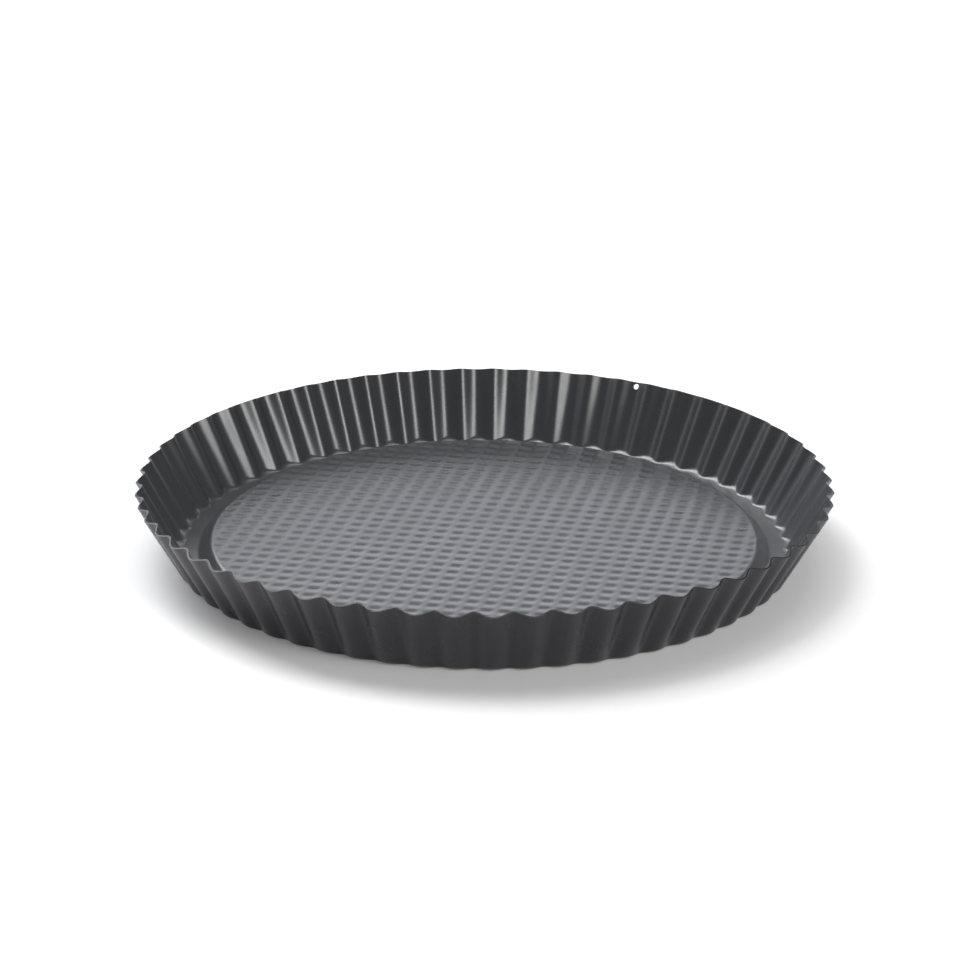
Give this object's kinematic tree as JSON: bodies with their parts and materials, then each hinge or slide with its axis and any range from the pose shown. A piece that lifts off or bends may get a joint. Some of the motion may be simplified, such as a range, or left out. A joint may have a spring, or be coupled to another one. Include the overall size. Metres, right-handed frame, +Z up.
{
  "type": "tart pan",
  "caption": "Round fluted tart pan in coated sheet steel, with a raised centre floor, a moat round it and a hanging hole near the rim.",
  "frame": {"origin": "on the table under the centre of the pan, at the level of the flat ring it stands on", "axes": "+Z up along the pan's axis; +X to the right and +Y to the back, with the hanging hole at 61.5 degrees from +X towards +Y"},
  "size_m": [0.2796, 0.2796, 0.0297],
  "materials": {
    "outer_coat": "satin",
    "bare_steel": "satin",
    "nonstick": "satin"
  },
  "bodies": {
    "root": {"outer_coating": "outer_coat", "steel_shell": "bare_steel", "inner_coating": "nonstick"}
  },
  "joints": []
}
